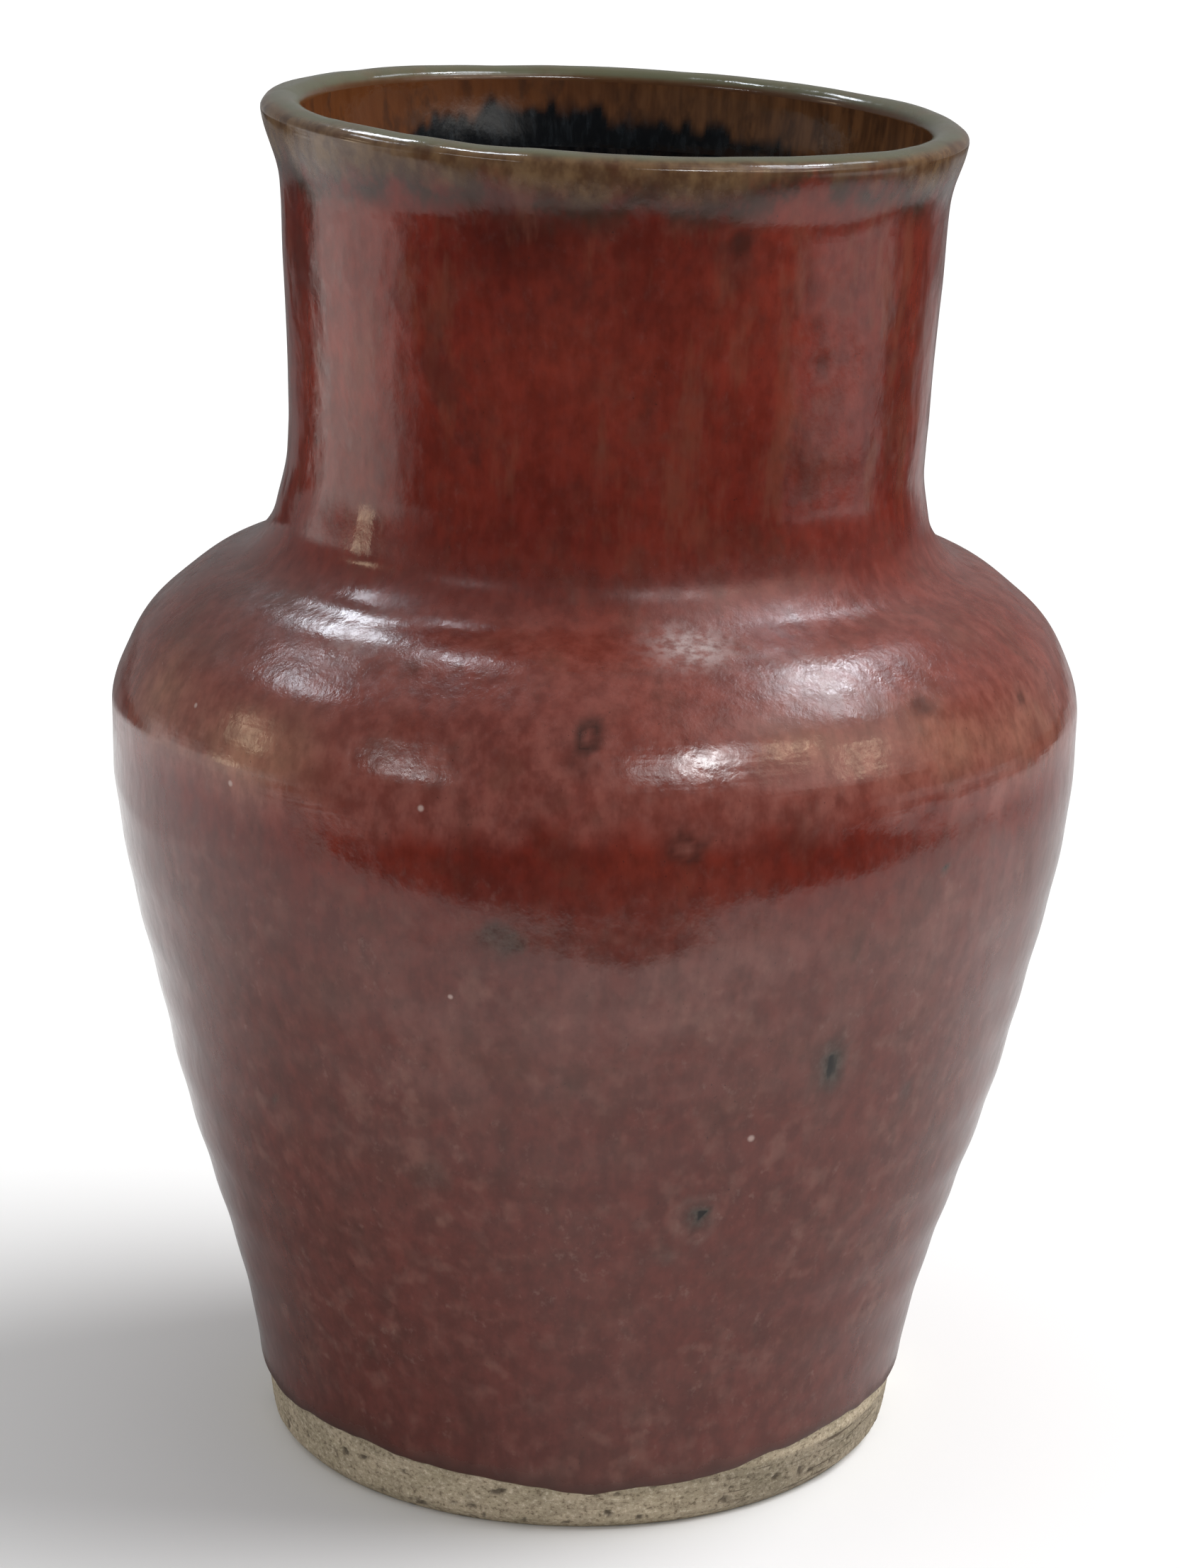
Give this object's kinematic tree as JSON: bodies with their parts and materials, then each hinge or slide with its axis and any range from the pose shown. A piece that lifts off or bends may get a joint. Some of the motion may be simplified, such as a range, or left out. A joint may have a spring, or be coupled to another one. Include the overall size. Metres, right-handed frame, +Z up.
{
  "type": "stoneware vase",
  "caption": "Wheel-thrown stoneware vase with a broad shoulder, straight neck and flared lip, glazed copper red over a bare clay foot, for holding cut flowers.",
  "frame": {"origin": "middle of the foot, on the surface that the vase stands on", "axes": "+Z up along the axis that the vase was thrown about; +X to the right and -Y towards the viewer of the picture"},
  "size_m": [0.142, 0.142, 0.201],
  "materials": {
    "bare_clay": "unglazed gritty stoneware with turning marks",
    "red_glaze": "glossy copper-red glaze with faint vertical streaks and iron spots",
    "lip_glaze": "glossy thin green-grey glaze",
    "amber_glaze": "glossy amber-brown glaze",
    "dark_glaze": "glossy blue-black iron glaze"
  },
  "bodies": {
    "root": {"clay_body": "bare_clay", "outer_glaze": "red_glaze", "lip_glaze": "lip_glaze", "inner_rim_glaze": "amber_glaze", "liner_glaze": "dark_glaze"}
  },
  "joints": []
}
